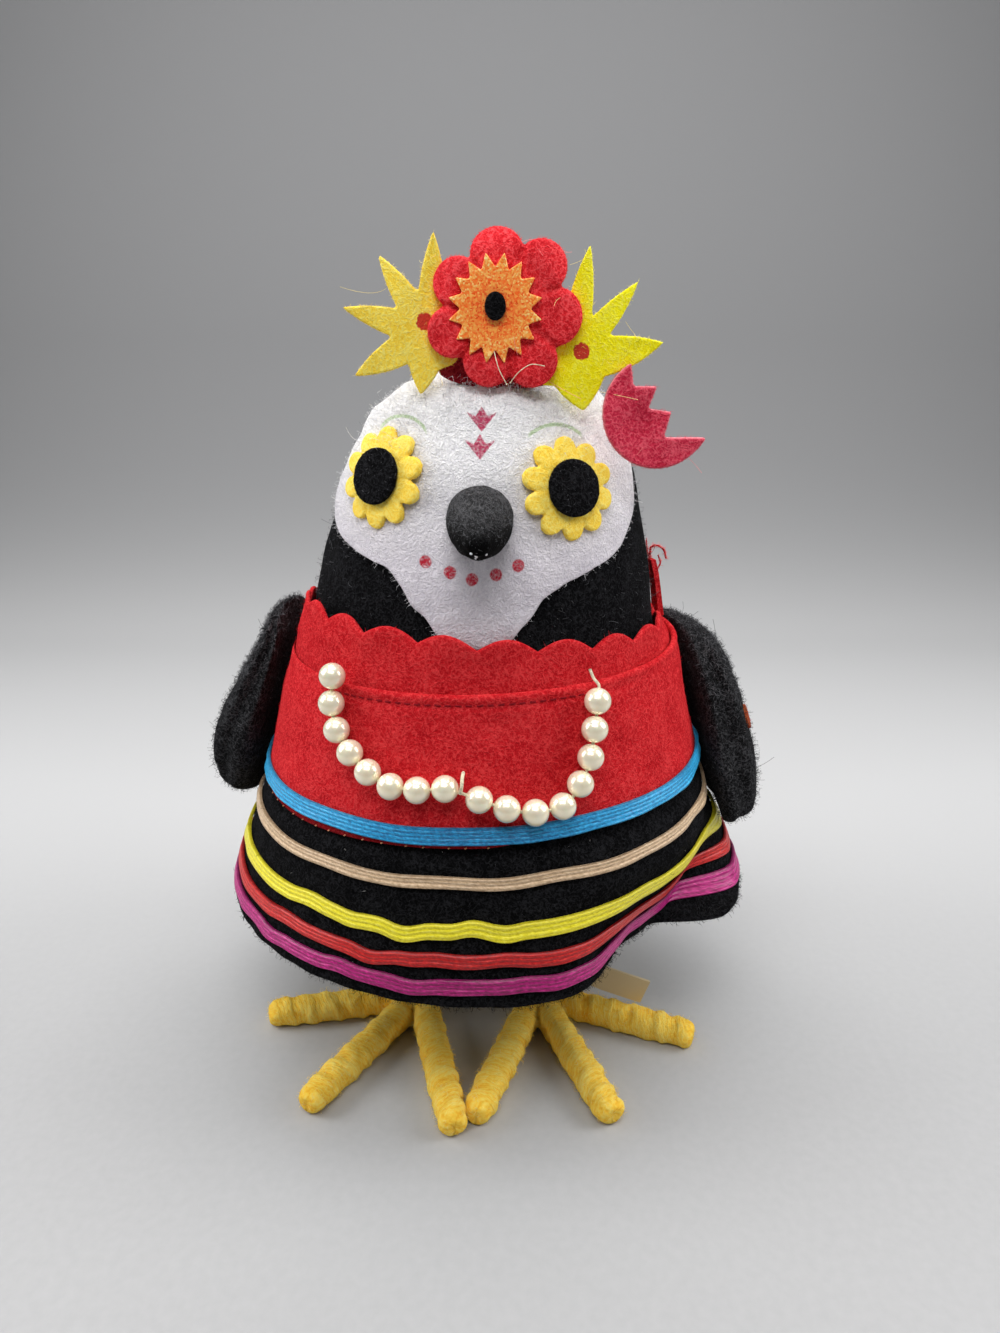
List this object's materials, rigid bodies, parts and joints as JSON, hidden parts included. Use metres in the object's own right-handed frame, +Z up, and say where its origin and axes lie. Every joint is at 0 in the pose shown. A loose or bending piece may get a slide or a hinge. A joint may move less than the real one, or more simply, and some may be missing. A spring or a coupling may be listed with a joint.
{
  "type": "day of the dead bird figurine",
  "caption": "Stuffed felt bird with a white skull-style face, felt flower crown, pearl necklace, ribboned skirt and yarn-wrapped feet.",
  "frame": {"origin": "on the floor under the middle of the figure's box", "axes": "+Z up; the bird faces -Y, so +X is at the viewer's right"},
  "size_m": [0.1218, 0.1072, 0.1704],
  "materials": {
    "black_felt": "napped felt",
    "white_felt": "napped felt, with printed brows, marks and dots",
    "red_felt": "napped felt",
    "dark_red_felt": "napped felt",
    "eye_yellow_felt": "napped felt",
    "warm_yellow_felt": "napped felt",
    "neon_yellow_felt": "napped felt",
    "pink_felt": "napped felt",
    "rust_felt": "napped felt",
    "orange_glitter": "fine glitter sheet",
    "charcoal_felt": "smooth needle felt",
    "pearl": "pearl lustre",
    "yellow_yarn": "wrapped yarn",
    "cream_ribbon": "printed satin, left bare",
    "blue_satin": "satin ribbon",
    "beige_satin": "satin ribbon",
    "yellow_satin": "satin ribbon",
    "red_satin": "satin ribbon",
    "magenta_satin": "satin ribbon"
  },
  "bodies": {
    "root": {"body": "black_felt", "face_mask": "white_felt", "beak": "charcoal_felt", "eye_flower_left": "eye_yellow_felt", "eye_disc_left": "black_felt", "eye_flower_right": "eye_yellow_felt", "eye_disc_right": "black_felt", "red_flower": "red_felt", "sunburst": "orange_glitter", "flower_centre": "black_felt", "yellow_flower_left": "warm_yellow_felt", "yellow_flower_right": "neon_yellow_felt", "pink_flower": "pink_felt", "flower_backing": "dark_red_felt", "collar": "red_felt", "bodice": "red_felt", "skirt": "black_felt", "ribbon_blue": "blue_satin", "ribbon_beige": "beige_satin", "ribbon_yellow": "yellow_satin", "ribbon_red": "red_satin", "ribbon_magenta": "magenta_satin", "wing_left": "black_felt", "wing_right": "black_felt", "wing_patch_right": "rust_felt", "foot_left": "yellow_yarn", "foot_right": "yellow_yarn", "tag": "cream_ribbon", "nape_tie": "red_felt", "pearl_01": "pearl", "pearl_02": "pearl", "pearl_03": "pearl", "pearl_04": "pearl", "pearl_05": "pearl", "pearl_06": "pearl", "pearl_07": "pearl", "pearl_08": "pearl", "pearl_09": "pearl", "pearl_10": "pearl", "pearl_11": "pearl", "pearl_12": "pearl", "pearl_13": "pearl", "pearl_14": "pearl", "pearl_15": "pearl", "pearl_16": "pearl"}
  },
  "joints": []
}
